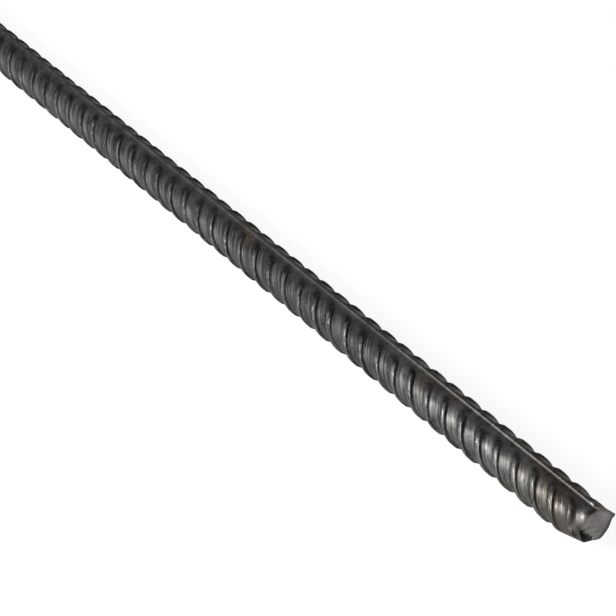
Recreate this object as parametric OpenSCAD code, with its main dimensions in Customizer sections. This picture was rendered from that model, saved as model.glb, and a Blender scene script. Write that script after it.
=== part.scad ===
// Reinforcing bar for concrete, hot rolled in one piece and cropped to length.
// The bar lies along X on the floor at Z = 0, and its middle is over the origin.
// Its section is a round core with two longitudinal ribs, half a turn apart.
// It lies as it would on a floor: on the core and on the crest of the lower rib.
// At each end the shear has drawn in the edge on the -Y side, which its blade met first.
// Sizes are in millimetres and angles in degrees.

/* [Bar] */
// Length of the bar
bar_length = 1000; // [200:10:6000]
// Diameter of the round core
core_diameter = 15.4; // [8:0.1:40]

/* [Longitudinal ribs] */
// Height of a crest above the core
rib_height = 1.05; // [0.4:0.05:1.5]
// Width of a crest
crest_width = 1; // [0.4:0.1:3]
// Radius of the hollow flank that runs from a crest into the core
flank_radius = 1.6; // [0.8:0.1:4]

/* [Cropped ends] */
// How far the edge is drawn in at the end face
rollover_depth = 2.2; // [0.4:0.1:4]
// Length of bar over which the edge is drawn in
rollover_length = 12; // [4:0.5:25]

/* [Hidden] */
$fn = 96;

// Room by which a cutting tool stands clear of the bar
tool_margin = 5;

core_r = core_diameter / 2;
crest_r = core_r + rib_height;

// Half the angle that a crest spans, seen from the bar's axis
crest_half_angle = asin(crest_width / 2 / crest_r);
// Lean of the ribs from upright when the core and a corner of the crest are on the floor
rest_tilt = acos(core_r / crest_r) + crest_half_angle;

// A flank's arc passes through the crest's corner and dips a little into the core
flank_dip = 0.03;
flank_reach = core_r + flank_radius - flank_dip;
// Direction of the arc's centre from the middle of the rib, by the law of cosines
flank_angle = crest_half_angle + acos(
    (pow(flank_reach, 2) + pow(crest_r, 2) - pow(flank_radius, 2)) / (2 * flank_reach * crest_r)
);
flank_centre = flank_reach * [sin(flank_angle), cos(flank_angle)];

// Radius of the arc along which the edge is drawn in, from its length and depth
rollover_radius = (pow(rollover_length, 2) + pow(rollover_depth, 2)) / (2 * rollover_depth);

// A rib that stands up along Y, from inside the core to its crest
module rib() {
    x = flank_centre[0];
    y = flank_centre[1];
    difference() {
        intersection() {
            polygon([[0, core_r / 2], [x, y], [x, 2 * crest_r], [-x, 2 * crest_r], [-x, y]]);
            circle(r = crest_r);
        }
        for (side = [-1, 1]) translate([side * x, y]) circle(r = flank_radius);
    }
}

// The bar's section about its axis, turned to the way it lies
module section() {
    circle(r = core_r);
    for (side = [0, 180]) rotate(side - rest_tilt) rib();
}

// What lies outside the drawn-in edge of an end face at X = 0
module rollover() {
    height = 2 * (crest_r + tool_margin);
    translate([-rollover_length, -core_r, 0]) difference() {
        translate([0, -tool_margin, -height / 2])
            cube([rollover_length + tool_margin, tool_margin + 2 * rollover_depth, height]);
        translate([0, rollover_radius, -height / 2 - tool_margin])
            cylinder(r = rollover_radius, h = height + 2 * tool_margin);
    }
}

module rebar() {
    color("#45454a") translate([0, 0, core_r]) difference() {
        rotate([90, 0, 90]) linear_extrude(bar_length, center = true) section();
        for (end = [0, 1]) mirror([end, 0, 0]) translate([bar_length / 2, 0, 0]) rollover();
    }
}

rebar();
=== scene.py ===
# One ribbed reinforcing bar lying on a pale studio floor.
# Lengths are written in millimetres and turned into metres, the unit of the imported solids.

import math

import bmesh
import bpy
import numpy as np
from mathutils import Matrix, Vector


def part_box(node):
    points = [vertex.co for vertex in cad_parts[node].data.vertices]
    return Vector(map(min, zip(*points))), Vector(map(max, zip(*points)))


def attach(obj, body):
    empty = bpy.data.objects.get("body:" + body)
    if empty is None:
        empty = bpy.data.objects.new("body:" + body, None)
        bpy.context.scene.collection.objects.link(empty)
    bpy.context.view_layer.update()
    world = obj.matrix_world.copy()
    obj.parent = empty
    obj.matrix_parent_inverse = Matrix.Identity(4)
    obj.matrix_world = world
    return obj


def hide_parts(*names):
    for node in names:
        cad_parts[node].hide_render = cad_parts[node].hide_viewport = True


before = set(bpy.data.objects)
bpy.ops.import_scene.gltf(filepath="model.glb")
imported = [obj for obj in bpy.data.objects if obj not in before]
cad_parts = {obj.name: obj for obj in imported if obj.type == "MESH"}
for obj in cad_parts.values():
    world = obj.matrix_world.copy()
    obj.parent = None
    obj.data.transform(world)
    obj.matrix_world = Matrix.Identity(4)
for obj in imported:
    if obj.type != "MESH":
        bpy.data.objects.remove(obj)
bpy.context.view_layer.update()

# The bar: carbon steel, hot rolled in one piece and cropped to length by a shear.
# The rolls leave two longitudinal ribs, half a turn apart, and two rows of oblique ribs between them.
# Angles round the bar run right-handed about +X, in degrees from the upper longitudinal rib.

MM = 0.001
bar_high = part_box("rebar")[1]
bar_end = bar_high.x / MM

# The core, a little out of round, and the section of the longitudinal ribs
core_radius = 7.7
rest_tilt = 31.63
full_angles = (140.0, 317.0)
full_heights = (0.28, 0.12)
full_spread = 32.0
spine_height = 1.05
spine_step = 0.38
spine_half_crest = 2.6
spine_step_foot = 4.6
spine_half_base = 20.0
spine_hollow = 1.7

# The oblique ribs: their spacing, section, ends and slant
rib_pitch = 9.85
rib_heights = np.array([1.06, 0.95])
near_shoulder, near_foot = 1.15, 1.8
far_shoulder, far_foot = 0.65, 1.95
root_fillet = 0.36
root_reach = 1.35
rib_start = 15.0
rib_full = 38.0
rib_crown = 0.1
rib_lead = 0.0885
sight_angle = 46.5
last_rib = bar_end - 7.5
row_stagger = 2.75

# Marks on the oblique ribs: dull ends, painted shade along the far roots and near flanks, and a painted
# highlight low at the near root
tip_middle = 30.0
tip_reach = 19.5
tip_width = 2.45
tip_shift = -0.1
root_line = 2.3
root_width = 0.65
flank_line = 1.58
flank_width = 0.36
line_share = 0.9
line_fade = 0.45
fade_start, fade_full = 50.0, 66.0
gleam_line = 2.7
gleam_width = 0.7
gleam_angle = 92.0
gleam_spread = 22.0

# Uneven rolling: each rib's place, height and marks. The last two ribs of the second row are low.
irregular = np.random.default_rng(16)
rib_nudge = irregular.normal(0.0, 0.08, (2, 256))
rib_scale = 1.0 + irregular.normal(0.0, 0.05, (2, 256))
rib_scale[1, :2] = 0.3
uneven = np.random.default_rng(23)
tip_drift = uneven.normal(0.0, 2.0, (2, 256))
tip_share = uneven.uniform(0.75, 1.0, (2, 256))
root_share = uneven.uniform(0.65, 1.0, (2, 256))
flank_share = uneven.uniform(0.5, 0.95, (2, 256))


def smooth(value, low, high):
    """Smooth step: 0 below low, 1 above high, and a cubic ramp between them."""
    share = np.clip((value - low) / (high - low), 0.0, 1.0)
    return share * share * (3.0 - 2.0 * share)


def bell(value, middle, spread):
    """Bell curve: 1 at its middle, and falling with the square of the distance in spreads."""
    return np.exp(-(((value - middle) / spread) ** 2))


def to_spine(around):
    """Angle to the nearer longitudinal rib: it rises from 0 to 90 and falls back in each half turn."""
    return 90.0 - np.abs(around % 180.0 - 90.0)


def spine_rise(around):
    """Height of the two longitudinal ribs: a flat narrow crest on a steep step, above hollow flanks.

    The step is a straight ramp, and a flank falls as a power of the distance to its foot."""
    aside = to_spine(around)
    step = np.clip((spine_step_foot - aside) / (spine_step_foot - spine_half_crest), 0.0, 1.0)
    flank = np.clip((spine_half_base - aside) / (spine_half_base - spine_half_crest), 0.0, 1.0)
    return spine_step * step + (spine_height - spine_step) * flank**spine_hollow


def core_fullness(around):
    """How far the core is out of round: two low swellings, each a bell curve of the angle."""
    swellings = zip(full_angles, full_heights)
    return sum(height * bell(around, angle, full_spread) for angle, height in swellings)


def rib_line(around):
    """Where the last rib crosses this angle, measured from the rib's place on the line of sight.

    Each rib winds evenly round the bar, so the line is proportional to the angle.
    The second row mirrors the first, because the angle counts from the upper rib either way round."""
    turned = around % 360.0
    return rib_lead * (np.minimum(turned, 360.0 - turned) - sight_angle)


def rib_rise(x, around):
    """Height of the oblique ribs, and the marks of their crests, dull places, painted shade and painted
    highlights.

    Across a rib it is a flat-topped profile with a fading fillet at its roots, rounder on the far side,
    and along it the height swells a little to the middle and ramps down at both ends.
    The ends are dull, and painted shade darkens the far root and the near flank, more faintly below the
    line of sight.
    A painted highlight is a bell curve across the near root and another along it."""
    row = (around % 360.0 >= 180.0).astype(int)
    pitches = (x - last_rib - rib_line(around) - row * row_stagger) / rib_pitch
    number = np.rint(pitches).astype(int)
    offset = (pitches - number) * rib_pitch + rib_nudge[row, number]
    across = np.abs(offset)
    shoulder = np.where(offset < 0.0, far_shoulder, near_shoulder)
    crest = 1.0 - smooth(across, shoulder, np.where(offset < 0.0, far_foot, near_foot))
    fillet = root_fillet * np.exp(-np.maximum(across - shoulder, 0.0) / root_reach)
    aside = to_spine(around)
    crown = 1.0 - rib_crown + rib_crown * np.sin(np.radians(aside))
    swell = smooth(aside, rib_start, rib_full) * crown
    height = rib_heights[row] * rib_scale[row, number]
    rise = height * swell * (crest * (1.0 - root_fillet) + fillet)
    tip_across = (offset - tip_shift) / tip_width
    tip_along = (aside - tip_middle - tip_drift[row, number]) / tip_reach
    tip = (1.0 - smooth(np.hypot(tip_along, tip_across), 0.4, 1.2)) * tip_share[row, number]
    # Painted shade: a dark line along the far root and another along the near flank
    root = bell(offset, -root_line, root_width) * root_share[row, number]
    flank = bell(offset, flank_line, flank_width) * flank_share[row, number]
    lower = smooth(180.0 - np.abs(around % 360.0 - 180.0), fade_start, fade_full)
    shade_line = line_share * np.maximum(root, flank) * swell * (1.0 - line_fade * lower)
    # Painted highlight low across the near root
    gleam = bell(offset, gleam_line, gleam_width) * bell(around, gleam_angle, gleam_spread)
    return rise, crest * swell, np.maximum(tip, shade_line), gleam


def lean(around):
    """How far the grid's lines are carried along the bar, so that they follow the oblique ribs.

    Across a longitudinal rib the stagger of the two rows fades in."""
    share = np.interp(around, [0.0, 15.0, 165.0, 195.0, 345.0, 360.0], [0.5, 0.0, 0.0, 1.0, 1.0, 0.5])
    return rib_line(around) + row_stagger * share


# The grid: columns at angles round the bar, and rows at the same stations across each rib
half_turn = np.concatenate([
    [0.0, 1.4, 2.6, 4.6, 7.5, 11.0],
    np.linspace(15.0, 165.0, 21),
    [169.0, 172.5, 175.4, 177.4, 178.6],
])
columns = np.concatenate([half_turn, half_turn + 180.0])
stations = np.array([-4.0, -3.1, -2.5, -1.95, -1.6, -1.25, -0.65, 0.3, 1.15, 1.38, 1.6, 1.8, 2.25, 3.0])
rib_numbers = np.arange(-math.ceil((2.0 * bar_end + 14.0) / rib_pitch), 4)
rows = (rib_numbers[:, None] * rib_pitch + stations[None, :]).ravel() + last_rib

grid_around = np.broadcast_to(columns, (len(rows), len(columns)))
grid_x = np.clip(rows[:, None] + lean(columns)[None, :], -bar_end, bar_end)
rise, crest, dull_and_shade, gleam = rib_rise(grid_x, grid_around)
radius = core_radius + core_fullness(grid_around) + np.maximum(spine_rise(grid_around), rise)
heading = np.radians(90.0 - rest_tilt + grid_around)
side = np.stack([grid_x, radius * np.cos(heading), radius * np.sin(heading)], axis=-1)

face_rings = np.array([0.985, 0.96, 0.92, 0.88, 0.83, 0.78, 0.72, 0.65, 0.56, 0.46, 0.34, 0.2, 0.0])


def end_face(rim):
    """Cut face: rings that shrink from the rim to the axis in the plane of the cut."""
    rings = np.repeat(rim[None], len(face_rings), axis=0)
    rings[:, :, 1:] *= face_rings[:, None, None]
    return rings


# The cropped ends: the drawn-in side, the pressed flat, the burr, the bevel and the torn strip
rollover_length = 20.0
rollover_angles = (138.0, 172.0)
rollover_ends = (6.3, 5.6)
rollover_slopes = (0.225, 0.19)
rollover_softness = 0.2
press_angle = 57.0
press_end = 0.9 * core_radius
press_slope = 0.08
press_softness = 0.08
press_length = (3.8, 6.0)
burr_angle = 289.0
burr_height = 1.9
burr_width = 1.4
burr_reach = 4.0
burr_forward = 0.4
bevel_angle = -45.0
bevel_start = 5.3
bevel_share = 0.9
bevel_reach = 3.0
tear_angle = 138.0
tear_start = 2.9
tear_depth = 2.2
tear_reach = 1.2
tear_waver = 0.7
lip_angle = 112.5
lip_start = 5.5
lip_share = 0.85
wave_count = irregular.uniform(0.7, 2.6, (2, 7))
wave_phase = irregular.uniform(0.0, 6.28, (2, 7))
wave_gain = 2.2


def toward(points, around):
    """Distance of points from the axis along the direction at this angle round the bar."""
    heading = math.radians(90.0 - rest_tilt + around)
    return points[..., 1] * math.cos(heading) + points[..., 2] * math.sin(heading)


def push(points, around, distance):
    """Moves points along the direction at this angle round the bar."""
    heading = math.radians(90.0 - rest_tilt + around)
    points[..., 1] += distance * math.cos(heading)
    points[..., 2] += distance * math.sin(heading)


def ragged(points):
    """Uneven field over the section, between about -1 and 1: the mean of crossed sine waves."""
    waves = np.sin(points[..., 1, None] * wave_count[0] + wave_phase[0])
    waves = waves * np.sin(points[..., 2, None] * wave_count[1] + wave_phase[1])
    return waves.mean(axis=-1) * wave_gain


def hold(points, around, limit, softness, share):
    """Presses points back to a limit in one direction, by a soft minimum of their distance."""
    over = softness * np.logaddexp(0.0, (toward(points, around) - limit) / softness)
    push(points, around, -over * share)


def crop(points):
    """Shape that the shear gives both ends, and the mark of its torn edge at the near end.

    One side is drawn in along two slopes, and the blade has pressed a small flat beside them.
    Opposite them it pulls out a burr, beside the upper rib it bends the face back,
    and by the drawn side a strip of the face is torn out."""
    from_end = bar_end - np.abs(points[..., 0])
    drawn = 1.0 - smooth(from_end, 0.8 * rollover_length, rollover_length)
    for around, end, slope in zip(rollover_angles, rollover_ends, rollover_slopes):
        hold(points, around, end + slope * from_end, rollover_softness, drawn)
    flat = 1.0 - smooth(from_end, *press_length)
    hold(points, press_angle, press_end + press_slope * from_end, press_softness, flat)
    aside = toward(points, burr_angle + 90.0) / burr_width
    burr = smooth(toward(points, burr_angle), 0.5 * core_radius, core_radius)
    burr = burr * np.exp(-from_end / burr_reach - aside**2)
    push(points, burr_angle, burr_height * burr)
    points[..., 0] += np.sign(points[..., 0]) * burr_forward * burr**2
    bevel = np.maximum(toward(points, bevel_angle) - bevel_start, 0.0) * np.exp(-from_end / bevel_reach)
    bevel = bevel * smooth(toward(points, sight_angle), 0.0, 4.0)
    points[..., 0] -= np.sign(points[..., 0]) * bevel_share * bevel
    near = (points[..., 0] > 0.0) * np.exp(-from_end / tear_reach)
    torn = smooth(toward(points, tear_angle) - tear_start + tear_waver * ragged(points), 0.0, 0.5)
    torn = torn * (1.0 - lip_share * smooth(toward(points, lip_angle) - lip_start, 0.0, 0.7)) * near
    points[..., 0] -= tear_depth * torn * (0.1 + 0.9 * smooth(toward(points, sight_angle), -0.5, 4.0))
    return torn


far_face = end_face(side[0])[::-1]
near_face = end_face(side[-1])
skin = np.concatenate([far_face, side, near_face])
torn = crop(skin)
skin[:, :, 2] += core_radius

count = len(columns)
lines = len(skin)
caps = len(face_rings)
line, column = np.meshgrid(np.arange(lines - 1), np.arange(count), indexing="ij")
next_column = (column + 1) % count
quads = np.stack([
    line * count + column,
    line * count + next_column,
    (line + 1) * count + next_column,
    (line + 1) * count + column,
], axis=-1).reshape(-1, 4)
bar_mesh = bpy.data.meshes.new("ribbed_bar")
bar_mesh.from_pydata((skin.reshape(-1, 3) * MM).tolist(), [], quads.tolist())

# Marks for the finishes, from 0 to 1: where the surface is rubbed, dull, lined, soiled or torn, and
# where painted highlights and painted shade lie.
# A painted bright spot has an angle, a spread in degrees, a distance from the end, a length and a
# share.
spots = (
    (44.0, 13.0, 2.8, 1.7, 1.0),
    (0.0, 4.0, 3.0, 1.2, 1.0),
    (25.0, 13.0, 3.6, 2.6, 0.25),
)
handled_start, handled_full = 125.0, 75.0
hollow_angle, hollow_spread = 102.0, 16.0
hollow_from_end, hollow_length = 11.5, 3.4
gleam_full, gleam_none = 240.0, 150.0

# Handling: the near end and the crests of the longitudinal ribs
aside = to_spine(grid_around)
spine_worn = 1.0 - smooth(aside, spine_half_crest, spine_step_foot + 0.5)
handled = smooth(grid_x, bar_end - handled_start, bar_end - handled_full)

# Bright spots where the blade has pressed the near end, painted in as highlights, and painted
# highlights at the near roots away from it
pressed_and_highlight = np.zeros_like(grid_x)
for angle, spread, from_end, length, share in spots:
    from_middle = (grid_around - angle + 180.0) % 360.0 - 180.0
    spot = np.hypot(from_middle / spread, (bar_end - from_end - grid_x) / length)
    pressed_and_highlight = np.maximum(pressed_and_highlight, share * (1.0 - smooth(spot, 0.3, 1.2)))
far_gleam = gleam * (1.0 - smooth(grid_x, bar_end - gleam_full, bar_end - gleam_none))
gleaming = np.maximum(pressed_and_highlight, 0.28 * far_gleam)

# Soil: a dull brown film on the drawn-in side of the near end
soiled = smooth(grid_x + 8.0 * smooth(grid_around, 64.0, 84.0), bar_end - 10.0, bar_end - 5.0)
soiled = soiled * smooth(grid_around, 54.0, 66.0)
soiled = soiled * (1.0 - smooth(grid_around, 180.0, 200.0)) * (1.0 - pressed_and_highlight)

# Darkened places: painted shade in a hollow before the last rib and along the feet beside the
# longitudinal ribs, and darker crests of the longitudinal ribs near the end
hollow_along = (bar_end - hollow_from_end - grid_x) / hollow_length
hollow_shade = np.hypot((grid_around - hollow_angle) / hollow_spread, hollow_along)
dull_and_shade = np.maximum(dull_and_shade, 0.6 * (1.0 - smooth(hollow_shade, 0.4, 1.1)))
dull_and_shade = np.maximum(dull_and_shade, 0.2 * spine_worn * handled * (1.0 - pressed_and_highlight))
# Painted shade along the feet beside the longitudinal ribs: on one side all along, on the other near
# the end only
foot_shade_behind = 1.05 * smooth(aside, spine_step_foot, 8.0) * (1.0 - smooth(aside, 12.0, 22.0))
foot_shade_before = 0.55 * smooth(aside, spine_half_crest, 6.0) * (1.0 - smooth(aside, 9.0, 21.0))
foot_shade_before = foot_shade_before * handled * (1.0 - gleaming)
foot_shade = np.where(grid_around % 360.0 > 180.0, foot_shade_behind, foot_shade_before)

# Painted shade darkens the rim of a cut face, wider on the side turned away from the line of sight
behind = smooth(-toward(near_face, sight_angle), 1.0, 6.0)
face_rim_shade = smooth(face_rings[:, None], 0.8 - 0.15 * behind, 0.98 - 0.08 * behind)
face_rim_shade = face_rim_shade * (0.45 + 0.55 * behind)
marks = {
    "worn": np.maximum(crest, 0.2 * spine_worn * (1.0 - handled)),
    "pressed_and_highlight": gleaming,
    "dull_and_shade": np.maximum(dull_and_shade, foot_shade),
    "lined": smooth(aside, 22.0, 46.0) * (1.0 - 0.5 * handled) * (1.0 - 0.7 * soiled),
    "soiled": soiled,
    "spine": spine_worn,
    # Painted shade on the side just before each cut face
    "rim": smooth(np.abs(grid_x), bar_end - 2.6, bar_end - 1.2),
}
for name, values in marks.items():
    whole = np.zeros((lines, count))
    whole[caps:-caps] = values
    if name == "rim":
        whole[-caps:] = face_rim_shade
        whole[:caps] = face_rim_shade[::-1]
    bar_mesh.attributes.new(name, "FLOAT", "POINT").data.foreach_set("value", whole.ravel())
bar_mesh.attributes.new("torn", "FLOAT", "POINT").data.foreach_set("value", torn.ravel())

# The map of the rib lines: arc length round the bar, and distance across the ribs
corner_line = np.stack([line, line, line + 1, line + 1], axis=-1)
corner_column = np.stack([column, column + 1, column + 1, column], axis=-1)
arc = core_radius * np.radians(np.append(columns, 360.0))
across = np.zeros((lines, count + 1))
across[caps:-caps, :-1] = grid_x - lean(columns)
across[:, -1] = across[:, 0]
chart = np.stack([arc[corner_column], across[corner_line, corner_column]], axis=-1)
bar_mesh.uv_layers.new(name="rib_lines").data.foreach_set("uv", chart.ravel())
on_face = (line < caps) | (line >= lines - caps - 1)
bar_mesh.polygons.foreach_set("material_index", on_face.ravel().astype(np.int32))

shell = bmesh.new()
shell.from_mesh(bar_mesh)
bmesh.ops.remove_doubles(shell, verts=shell.verts, dist=0.002 * MM)
bmesh.ops.recalc_face_normals(shell, faces=shell.faces)
shell.to_mesh(bar_mesh)
shell.free()
bar_mesh.shade_smooth()
bar_mesh.set_sharp_from_angle(angle=math.radians(50.0))
bar = bpy.data.objects.new("ribbed_bar", bar_mesh)
bpy.context.scene.collection.objects.link(bar)


def put(tree, kind, inputs=None, **settings):
    """New shader node with its settings, and a value or a link for each named input."""
    node = tree.nodes.new("ShaderNode" + kind)
    for name, value in settings.items():
        setattr(node, name, value)
    for name, value in (inputs or {}).items():
        if isinstance(value, bpy.types.NodeSocket):
            tree.links.new(value, node.inputs[name])
        else:
            node.inputs[name].default_value = value
    return node


def noise(tree, place, scale, detail=3.0, roughness=0.6):
    """Value of a noise pattern at a place."""
    values = {"Vector": place, "Scale": scale, "Detail": detail, "Roughness": roughness}
    return put(tree, "TexNoise", values).outputs["Fac"]


def ramp(tree, value, low, high, bottom=0.0, top=1.0):
    """Value carried from the range low to high to the range bottom to top, smoothly and clamped."""
    values = {"Value": value, "From Min": low, "From Max": high, "To Min": bottom, "To Max": top}
    return put(tree, "MapRange", values, interpolation_type="SMOOTHSTEP").outputs["Result"]


def sums(tree, operation, first, second):
    """Result of one arithmetic step on two values."""
    return put(tree, "Math", {0: first, 1: second}, operation=operation).outputs[0]


def plus(tree, first, second):
    """Sum of two values."""
    return sums(tree, "ADD", first, second)


def minus(tree, first, second):
    """Difference of two values."""
    return sums(tree, "SUBTRACT", first, second)


def times(tree, first, second):
    """Product of two values."""
    return sums(tree, "MULTIPLY", first, second)


def larger(tree, first, second):
    """Larger of two values."""
    return sums(tree, "MAXIMUM", first, second)


def blend(tree, share, first, second, kind="MIX"):
    """Colour mixed from two colours by a share."""
    values = {0: share, 6: first, 7: second}
    return put(tree, "Mix", values, data_type="RGBA", blend_type=kind).outputs[2]


def stretched(tree, place, factors):
    """Place multiplied along each axis, so that a pattern there is drawn out or squeezed."""
    return put(tree, "VectorMath", {0: place, 1: factors}, operation="MULTIPLY").outputs["Vector"]


def mark(tree, name):
    """Value of one of the marks on the bar's surface."""
    return put(tree, "Attribute", attribute_name=name).outputs["Fac"]


# Rust: a thin brown film in patches, with finer and darker grains inside them
rust_dark = (0.045, 0.026, 0.017, 1.0)
rust_pale = (0.15, 0.1, 0.07, 1.0)
rust = bpy.data.node_groups.new("rust_film", "ShaderNodeTree")
rust.interface.new_socket("Position", in_out="INPUT", socket_type="NodeSocketVector")
rust.interface.new_socket("Amount", in_out="INPUT", socket_type="NodeSocketFloat")
rust.interface.new_socket("Mask", in_out="OUTPUT", socket_type="NodeSocketFloat")
rust.interface.new_socket("Colour", in_out="OUTPUT", socket_type="NodeSocketColor")
rust_in = rust.nodes.new("NodeGroupInput").outputs
rust_out = rust.nodes.new("NodeGroupOutput").inputs
patches = noise(rust, rust_in["Position"], 55.0, 4.0, 0.65)
grains = noise(rust, rust_in["Position"], 900.0, 3.0, 0.6)
level = plus(rust, times(rust, patches, 0.8), times(rust, grains, 0.35))
level = plus(rust, level, rust_in["Amount"])
rust_tint = blend(rust, ramp(rust, grains, 0.35, 0.65), rust_dark, rust_pale)
rust.links.new(ramp(rust, level, 0.72, 1.05), rust_out["Mask"])
rust.links.new(rust_tint, rust_out["Colour"])


def rusted(tree, place, amount):
    """The rust film placed in a material: its mask and its colour."""
    film = put(tree, "Group", node_tree=rust)
    tree.links.new(place, film.inputs["Position"])
    if isinstance(amount, bpy.types.NodeSocket):
        tree.links.new(amount, film.inputs["Amount"])
    else:
        film.inputs["Amount"].default_value = amount
    return film.outputs["Mask"], film.outputs["Colour"]


# Mill scale: dark oxide from the rolling, drawn into fine lines along the oblique ribs.
# Handling has rubbed the crests bright, and a brown film has started near the cut end.
# A rust stain beside the upper rib has a distance from the end and an amount.
scale_dark = (0.028, 0.028, 0.028, 1.0)
scale_pale = (0.105, 0.105, 0.104, 1.0)
# Near the end the oxide is paler, partly from handling and partly a painted highlight where the end is
# lit more
handled_and_lit_dark = (0.04, 0.04, 0.038, 1.0)
handled_and_lit_pale = (0.2, 0.2, 0.19, 1.0)
brown_film = (1.0, 0.952, 0.91, 1.0)
# Rubbed steel, for the worn crests and for the painted highlights
rubbed_and_highlight_steel = (0.41, 0.408, 0.402, 1.0)
# Near black for dull rib ends and for painted shade on rib roots and flanks, in a hollow and beside the
# longitudinal ribs
dull_shade_black = (0.009, 0.009, 0.009, 1.0)
soil_brown = (0.088, 0.08, 0.072, 1.0)
# Dark brown for painted shade at the rims of the cut faces
rim_shade_brown = (0.04, 0.034, 0.03, 1.0)
# Near black for the torn strip: rough torn steel, and painted shade in its notch
torn_shade_black = (0.007, 0.005, 0.004, 1.0)
brown_start, brown_full = 50.0, 22.0
stains = ((206.0, 0.27), (92.0, 0.27), (78.0, 0.27), (34.0, 0.09), (22.0, 0.09), (10.0, 0.12))
stain_angle = 13.0
stain_core, stain_reach = 2.0, 11.0

scale_finish = bpy.data.materials.new("mill_scale")
scale_finish.use_nodes = True
tree = scale_finish.node_tree
surface = tree.nodes["Principled BSDF"]
place = put(tree, "TexCoord").outputs["Object"]
chart_place = put(tree, "UVMap", uv_map="rib_lines").outputs["UV"]
along = put(tree, "SeparateXYZ", {"Vector": place}).outputs["X"]
handled_and_lit_end = ramp(tree, along, (bar_end - handled_start) * MM, (bar_end - handled_full) * MM)
brown_end = ramp(tree, along, (bar_end - brown_start) * MM, (bar_end - brown_full) * MM)

drawn_lines = noise(tree, stretched(tree, chart_place, (0.06, 1.1, 0.0)), 1.0, 3.0, 0.75)
drawn_lines = times(tree, ramp(tree, drawn_lines, 0.4, 0.6, -0.5, 0.5), mark(tree, "lined"))
clouds = noise(tree, place, 220.0, 4.0, 0.68)
grain = noise(tree, place, 1300.0, 3.0, 0.65)
tone = ramp(tree, plus(tree, times(tree, drawn_lines, 0.7), clouds), 0.15, 0.85)
oxide = blend(tree, tone, scale_dark, scale_pale)
# Paler oxide near the end: partly handling, partly painted highlight
oxide = blend(tree, handled_and_lit_end, oxide, blend(tree, tone, handled_and_lit_dark, handled_and_lit_pale))

rust_amount = times(tree, brown_end, 0.16)
stain_heading = math.radians(90.0 - rest_tilt + stain_angle)
stain_y = core_radius * math.cos(stain_heading)
stain_z = core_radius * (1.0 + math.sin(stain_heading))
for from_end, amount in stains:
    middle = np.array([bar_end - from_end, stain_y, stain_z]) * MM
    reach = put(tree, "VectorMath", {0: place, 1: middle}, operation="DISTANCE").outputs["Value"]
    stain = ramp(tree, reach, stain_core * MM, stain_reach * MM, amount, 0.0)
    rust_amount = plus(tree, rust_amount, stain)
rust_mask, rust_colour = rusted(tree, place, rust_amount)
clean = times(tree, mark(tree, "spine"), brown_end)
rust_mask = times(tree, rust_mask, ramp(tree, clean, 0.0, 1.0, 0.75, 0.1))
oxide = blend(tree, rust_mask, oxide, rust_colour)
brown_share = minus(tree, brown_end, times(tree, clean, 0.7))
oxide = blend(tree, brown_share, oxide, brown_film, "MULTIPLY")

specks = noise(tree, stretched(tree, chart_place, (0.5, 2.2, 0.0)), 1.0, 3.0, 0.7)
rubbed_and_highlight = times(tree, times(tree, mark(tree, "worn"), ramp(tree, specks, 0.5, 0.66)), 0.75)
# Painted highlights: the pressed spots and the gleams take the rubbed steel too
rubbed_and_highlight = larger(tree, rubbed_and_highlight, times(tree, mark(tree, "pressed_and_highlight"), 0.95))
mottle = ramp(tree, noise(tree, place, 520.0, 3.0, 0.65), 0.36, 0.56, 0.55, 1.05)
# Dull places and painted shade turn the colour near black and the finish rougher
dulled_and_shaded = times(tree, mark(tree, "dull_and_shade"), mottle)
soil_share = mark(tree, "soiled")
colour = blend(tree, rubbed_and_highlight, oxide, rubbed_and_highlight_steel)
colour = blend(tree, times(tree, dulled_and_shaded, 0.95), colour, dull_shade_black)
colour = blend(tree, times(tree, soil_share, 0.8), colour, soil_brown)
# Painted shade at the rims by the cut faces
colour = blend(tree, times(tree, mark(tree, "rim"), 0.8), colour, rim_shade_brown)
# The torn strip is painted near black, partly torn steel and partly the shade in its notch
colour = blend(tree, mark(tree, "torn"), colour, torn_shade_black)
tree.links.new(colour, surface.inputs["Base Color"])

rough = plus(tree, ramp(tree, clouds, 0.3, 0.7, 0.34, 0.46), times(tree, rust_mask, 0.1))
rough = plus(tree, rough, times(tree, larger(tree, dulled_and_shaded, soil_share), 0.2))
rough = minus(tree, rough, times(tree, handled_and_lit_end, 0.05))
rough = minus(tree, rough, times(tree, rubbed_and_highlight, 0.08))
tree.links.new(rough, surface.inputs["Roughness"])
bare = larger(tree, times(tree, handled_and_lit_end, 0.6), ramp(tree, rubbed_and_highlight, 0.0, 0.6))
bare = minus(tree, bare, times(tree, soil_share, 0.5))
tree.links.new(ramp(tree, bare, 0.0, 1.0, 0.5, 1.0), surface.inputs["Metallic"])
surface.inputs["Specular IOR Level"].default_value = 0.3
surface.inputs["Specular Tint"].default_value = (0.4, 0.4, 0.4, 1.0)
relief = plus(tree, times(tree, drawn_lines, 0.8), times(tree, grain, 0.12))
relief = plus(tree, relief, times(tree, clouds, 0.5))
bump = put(tree, "Bump", {"Height": relief, "Strength": 0.8, "Distance": 0.09 * MM})
tree.links.new(bump.outputs["Normal"], surface.inputs["Normal"])
bar_mesh.materials.append(scale_finish)

# Sheared steel: the bare cut face, wiped by the blade into faint streaks.
# It has a thin brown film, painted shade on the rim where it bends over, and a torn edge painted near
# black, partly rough torn steel and partly the shade in its notch.
cut_dark = (0.15, 0.148, 0.147, 1.0)
cut_pale = (0.32, 0.3, 0.275, 1.0)
cut_rim_shade = (0.035, 0.033, 0.032, 1.0)
streak_turn = (math.radians(-45.0), 0.0, 0.0)

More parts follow.
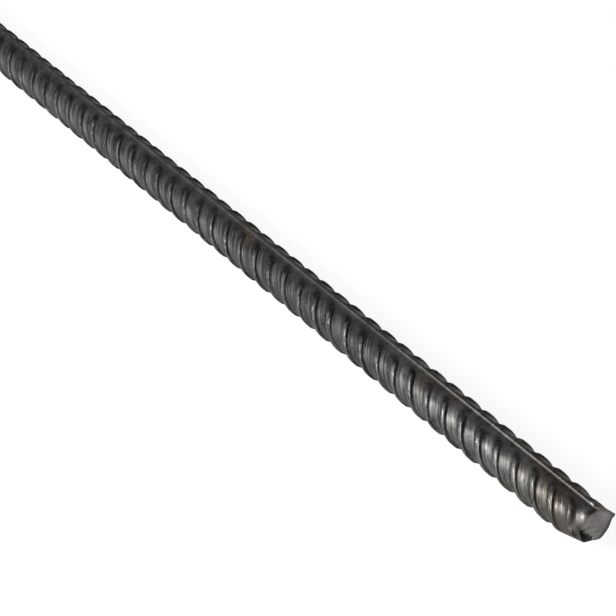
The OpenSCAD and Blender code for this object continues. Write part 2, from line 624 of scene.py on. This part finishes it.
cut_finish = bpy.data.materials.new("sheared_steel")
cut_finish.use_nodes = True
tree = cut_finish.node_tree
surface = tree.nodes["Principled BSDF"]
place = put(tree, "TexCoord").outputs["Object"]
torn_mark = mark(tree, "torn")
turned = put(tree, "Mapping", {"Vector": place, "Rotation": streak_turn}).outputs["Vector"]
streaks = noise(tree, stretched(tree, turned, (300.0, 600.0, 100.0)), 1.0, 3.0, 0.6)
grain = noise(tree, place, 1500.0, 2.0, 0.6)
patches = noise(tree, place, 150.0, 3.0, 0.5)
shade = plus(tree, times(tree, streaks, 0.4), times(tree, patches, 0.6))
steel = blend(tree, ramp(tree, shade, 0.34, 0.64), cut_dark, cut_pale)
rust_mask, rust_colour = rusted(tree, place, 0.12)
steel = blend(tree, times(tree, rust_mask, 0.45), steel, rust_colour)
# Painted shade on the rim of the face
steel = blend(tree, times(tree, mark(tree, "rim"), 0.85), steel, cut_rim_shade)
steel = blend(tree, torn_mark, steel, torn_shade_black)
tree.links.new(steel, surface.inputs["Base Color"])
tree.links.new(ramp(tree, grain, 0.3, 0.7, 0.45, 0.6), surface.inputs["Roughness"])
tree.links.new(ramp(tree, torn_mark, 0.0, 0.8, 0.75, 0.1), surface.inputs["Metallic"])
surface.inputs["Specular IOR Level"].default_value = 0.15
relief = plus(tree, streaks, times(tree, grain, 0.4))
bump = put(tree, "Bump", {"Height": relief, "Strength": 0.7, "Distance": 0.1 * MM})
tree.links.new(bump.outputs["Normal"], surface.inputs["Normal"])
bar_mesh.materials.append(cut_finish)

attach(bar, "root")
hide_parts("rebar")

# The floor: a wide sheet of white studio paper, laid flat under the bar's lowest ribs.
# It shows white, also where the steel mirrors it, and keeps the bar's soft shadow.

floor_size = 120.0
floor_level = float(skin[:, :, 2].min()) * MM
paper_grey = (0.16, 0.16, 0.16, 1.0)
paper_white = (1.0, 1.0, 1.0, 1.0)
paper_glow = 0.9

half = floor_size / 2.0
floor_corners = [
    (-half, -half, floor_level),
    (half, -half, floor_level),
    (half, half, floor_level),
    (-half, half, floor_level),
]
floor_mesh = bpy.data.meshes.new("paper_floor")
floor_mesh.from_pydata(floor_corners, [], [(0, 1, 2, 3)])
floor = bpy.data.objects.new("paper_floor", floor_mesh)
bpy.context.scene.collection.objects.link(floor)
paper = bpy.data.materials.new("white_paper")
paper.use_nodes = True
tree = paper.node_tree
surface = tree.nodes["Principled BSDF"]
surface.inputs["Base Color"].default_value = paper_grey
surface.inputs["Roughness"].default_value = 0.9
surface.inputs["Specular IOR Level"].default_value = 0.0
surface.inputs["Emission Color"].default_value = paper_white
rays = put(tree, "LightPath").outputs
seen = larger(tree, rays["Is Camera Ray"], rays["Is Glossy Ray"])
seen = larger(tree, seen, rays["Is Transmission Ray"])
tree.links.new(times(tree, seen, paper_glow), surface.inputs["Emission Strength"])
floor_mesh.materials.append(paper)

# The light: two soft boxes on the side from which the photograph is taken, a dim one above,
# a dim one behind the bar, and a dim room. The far side of the bar stays dark.

room = bpy.data.worlds.new("dim_room")
bpy.context.scene.world = room
room.use_nodes = True
room_light = room.node_tree.nodes["Background"].inputs
room_light["Color"].default_value = (1.0, 1.0, 1.0, 1.0)
room_light["Strength"].default_value = 0.2


def soft_box(name, place, aim, size, power):
    """Rectangular lamp at a place, turned so that its light falls on the point it aims at."""
    lamp = bpy.data.lights.new(name, "AREA")
    lamp.shape = "RECTANGLE"
    lamp.size, lamp.size_y = size
    lamp.energy = power
    holder = bpy.data.objects.new(name, lamp)
    holder.location = place
    holder.rotation_euler = (Vector(place) - Vector(aim)).to_track_quat("Z", "Y").to_euler()
    holder.visible_camera = False
    bpy.context.scene.collection.objects.link(holder)


soft_box("key_box", (0.23, -0.335, 0.44), (0.45, 0.0, 0.0), (0.28, 0.2), 2.0)
soft_box("side_box", (0.1, -0.8, 0.45), (0.35, 0.0, 0.0), (1.2, 0.8), 6.0)
soft_box("top_box", (-0.08, -0.05, 0.55), (0.3, 0.0, 0.0), (0.3, 0.3), 0.4)
soft_box("back_box", (-0.1, 1.0, 0.4), (0.0, 0.0, 0.0), (1.6, 0.6), 1.0)

# The camera: looks down along the bar from beyond its near end, on the side of the upper rib.
# Its place is set so that the bar crosses the picture as it does in the photograph.

picture_width = 616.0
sensor_width = 36.0
sight_pitch = math.radians(39.5)
picture_slope = math.radians(39.18)
focal_pixels = 2385.0
sight_depth = 0.9316
middle_shift = (3.51, 8.72)
anchor_from_end = 0.16375
anchor = Vector((bar_high.x - anchor_from_end, 0.0, core_radius * MM))

heading_up = math.radians(90.0 - rest_tilt + sight_angle)
axis = Vector((1.0, 0.0, 0.0))
upward = Vector((0.0, math.cos(heading_up), math.sin(heading_up)))
sideways = Vector((0.0, -math.sin(heading_up), math.cos(heading_up)))
down_bar = math.cos(sight_pitch) * axis - math.sin(sight_pitch) * upward
back = math.sin(sight_pitch) * axis + math.cos(sight_pitch) * upward
right = math.cos(picture_slope) * down_bar - math.sin(picture_slope) * sideways
up = -math.sin(picture_slope) * down_bar - math.cos(picture_slope) * sideways

lens = bpy.data.cameras.new("camera")
lens.sensor_width = sensor_width
lens.lens = focal_pixels * sensor_width / picture_width
lens.clip_start = 0.01
camera = bpy.data.objects.new("camera", lens)
pixel = sight_depth / focal_pixels
shift = (middle_shift[0] * right + middle_shift[1] * up) * pixel
camera_place = anchor - shift + sight_depth * back
camera_turn = Matrix((right, up, back)).transposed().to_4x4()
camera.matrix_world = Matrix.Translation(camera_place) @ camera_turn
bpy.context.scene.collection.objects.link(camera)
bpy.context.scene.camera = camera
bpy.context.scene.view_settings.view_transform = "Standard"

bpy.context.view_layer.update()
